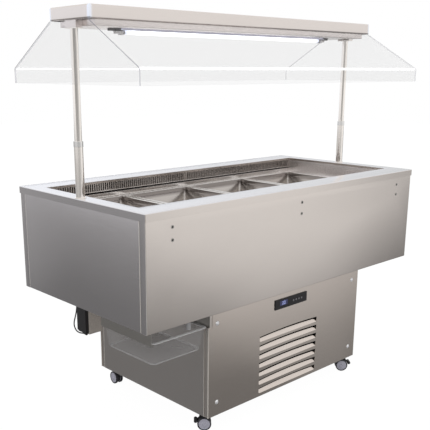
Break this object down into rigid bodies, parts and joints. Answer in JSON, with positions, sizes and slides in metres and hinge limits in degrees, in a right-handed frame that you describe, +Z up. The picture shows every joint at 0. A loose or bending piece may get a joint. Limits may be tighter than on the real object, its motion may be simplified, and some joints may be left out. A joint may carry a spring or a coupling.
{
  "type": "mobile salad bar",
  "caption": "Refrigerated steel salad bar on casters: blown-air well with lift-out pans, louvred cabinet, and a lit canopy with clear sneeze guards on telescopic posts.",
  "frame": {"origin": "on the floor under the middle of the counter", "axes": "+X along the counter to the right as the operator panel is faced, +Y from the front with the operator panel to the back, +Z up"},
  "size_m": [1.46, 0.726, 1.444],
  "materials": {
    "bright_steel": "satin",
    "panel_steel": "satin",
    "well_steel": "satin",
    "pan_steel": "satin",
    "canopy_steel": "satin",
    "cabinet_steel": "satin",
    "zinc_steel": "satin",
    "white_metal": "gloss",
    "black_enamel": "satin",
    "fin_aluminium": "satin",
    "copper": "satin",
    "foam": "matte",
    "clear_plastic": "gloss",
    "white_plastic": "satin",
    "wheel_plastic": "satin",
    "black_plastic": "satin",
    "dark_plastic": "satin",
    "black_gloss": "gloss",
    "display_glass": "gloss",
    "lamp_glass": "gloss",
    "black_rubber": "matte"
  },
  "bodies": {
    "base": {"worktop_rim": "bright_steel", "front_panel": "panel_steel", "back_panel": "panel_steel", "end_panels": "panel_steel", "body_floor": "panel_steel", "rail_nuts": "zinc_steel", "well_liner": "well_steel", "insulation": "foam", "air_grilles": "well_steel", "pan_supports": "well_steel", "divider_bars": "well_steel", "evaporator": "fin_aluminium", "drain_tube": "white_plastic", "drain_tray_rails": "zinc_steel", "post_sleeves": "bright_steel", "post_collars": "bright_steel", "post_flanges": "bright_steel", "cabinet_base": "cabinet_steel", "corner_posts": "cabinet_steel", "cabinet_front_panel": "cabinet_steel", "cabinet_back_panel": "cabinet_steel", "cabinet_side_panels": "cabinet_steel", "panel_screws": "bright_steel", "control_panel": "black_gloss", "control_display": "display_glass", "compressor": "black_enamel", "refrigerant_pipes": "copper", "condenser": "fin_aluminium", "junction_box": "zinc_steel", "lamp_driver": "black_plastic", "lamp_cable": "black_rubber", "cable_glands": "black_plastic", "caster_plates": "zinc_steel"},
    "canopy": {"post_rods": "bright_steel", "canopy_cover": "canopy_steel", "canopy_tray": "canopy_steel", "canopy_brackets": "canopy_steel", "lamp_reflector": "white_metal", "lamp_tube": "lamp_glass", "lamp_holders": "dark_plastic", "guard_front": "clear_plastic", "guard_back": "clear_plastic", "guard_ends": "clear_plastic"},
    "pan_1_body": {"pan_1": "pan_steel"},
    "pan_2_body": {"pan_2": "pan_steel"},
    "pan_3_body": {"pan_3": "pan_steel"},
    "pan_4_body": {"pan_4": "pan_steel"},
    "tray": {"drain_tray": "clear_plastic"},
    "cold_fan": {"evaporator_fan": "black_plastic"},
    "hot_fan": {"condenser_fan": "fin_aluminium"},
    "yoke_fl": {"caster_yoke_fl": "black_plastic"},
    "wheel_fl": {"caster_wheel_fl": "wheel_plastic"},
    "yoke_fr": {"caster_yoke_fr": "black_plastic"},
    "wheel_fr": {"caster_wheel_fr": "wheel_plastic"},
    "yoke_bl": {"caster_yoke_bl": "black_plastic"},
    "wheel_bl": {"caster_wheel_bl": "wheel_plastic"},
    "yoke_br": {"caster_yoke_br": "black_plastic"},
    "wheel_br": {"caster_wheel_br": "wheel_plastic"},
    "pedal_fl": {"brake_pedal_fl": "black_plastic"},
    "pedal_fr": {"brake_pedal_fr": "black_plastic"}
  },
  "joints": [
    {"name": "canopy_height", "type": "slide", "parent": "base", "child": "canopy", "axis": [0, 0, 1], "range_m": [-0.34, 0]},
    {"name": "pan_1_lift", "type": "slide", "parent": "base", "child": "pan_1_body", "axis": [0, 0, 1], "range_m": [0, 0.22]},
    {"name": "pan_2_lift", "type": "slide", "parent": "base", "child": "pan_2_body", "axis": [0, 0, 1], "range_m": [0, 0.22]},
    {"name": "pan_3_lift", "type": "slide", "parent": "base", "child": "pan_3_body", "axis": [0, 0, 1], "range_m": [0, 0.22]},
    {"name": "pan_4_lift", "type": "slide", "parent": "base", "child": "pan_4_body", "axis": [0, 0, 1], "range_m": [0, 0.22]},
    {"name": "drain_tray_slide", "type": "slide", "parent": "base", "child": "tray", "axis": [0, -1, 0], "range_m": [0, 0.2]},
    {"name": "caster_fl_swivel", "type": "hinge", "parent": "base", "child": "yoke_fl", "pos_m": [-0.3882, -0.2775, 0.06], "axis": [0, 0, 1], "continuous": true},
    {"name": "caster_fl_roll", "type": "hinge", "parent": "yoke_fl", "child": "wheel_fl", "pos_m": [-0.39703, -0.26938, 0.0254], "axis": [-0.6769, -0.7361, 0], "continuous": true},
    {"name": "brake_fl_pedal", "type": "hinge", "parent": "yoke_fl", "child": "pedal_fl", "pos_m": [-0.40734, -0.2599, 0.047], "axis": [0.6769, 0.7361, 0], "range_deg": [0, 18]},
    {"name": "caster_fr_swivel", "type": "hinge", "parent": "base", "child": "yoke_fr", "pos_m": [0.3952, -0.2775, 0.06], "axis": [0, 0, 1], "continuous": true},
    {"name": "caster_fr_roll", "type": "hinge", "parent": "yoke_fr", "child": "wheel_fr", "pos_m": [0.40403, -0.28562, 0.0254], "axis": [0.6769, 0.7361, 0], "continuous": true},
    {"name": "brake_fr_pedal", "type": "hinge", "parent": "yoke_fr", "child": "pedal_fr", "pos_m": [0.41434, -0.2951, 0.047], "axis": [-0.6769, -0.7361, 0], "range_deg": [0, 18]},
    {"name": "caster_bl_swivel", "type": "hinge", "parent": "base", "child": "yoke_bl", "pos_m": [-0.3882, 0.2775, 0.06], "axis": [0, 0, 1], "continuous": true},
    {"name": "caster_bl_roll", "type": "hinge", "parent": "yoke_bl", "child": "wheel_bl", "pos_m": [-0.38925, 0.26555, 0.0254], "axis": [0.9962, -0.0872, 0], "continuous": true},
    {"name": "caster_br_swivel", "type": "hinge", "parent": "base", "child": "yoke_br", "pos_m": [0.3952, 0.2775, 0.06], "axis": [0, 0, 1], "continuous": true},
    {"name": "caster_br_roll", "type": "hinge", "parent": "yoke_br", "child": "wheel_br", "pos_m": [0.4012, 0.26711, 0.0254], "axis": [0.866, 0.5, 0], "continuous": true},
    {"name": "evaporator_fan_spin", "type": "hinge", "parent": "base", "child": "cold_fan", "pos_m": [0, 0.098, 0.622], "axis": [0, 1, 0], "continuous": true},
    {"name": "condenser_fan_spin", "type": "hinge", "parent": "base", "child": "hot_fan", "pos_m": [0.01, -0.205, 0.19], "axis": [0, 1, 0], "continuous": true}
  ]
}
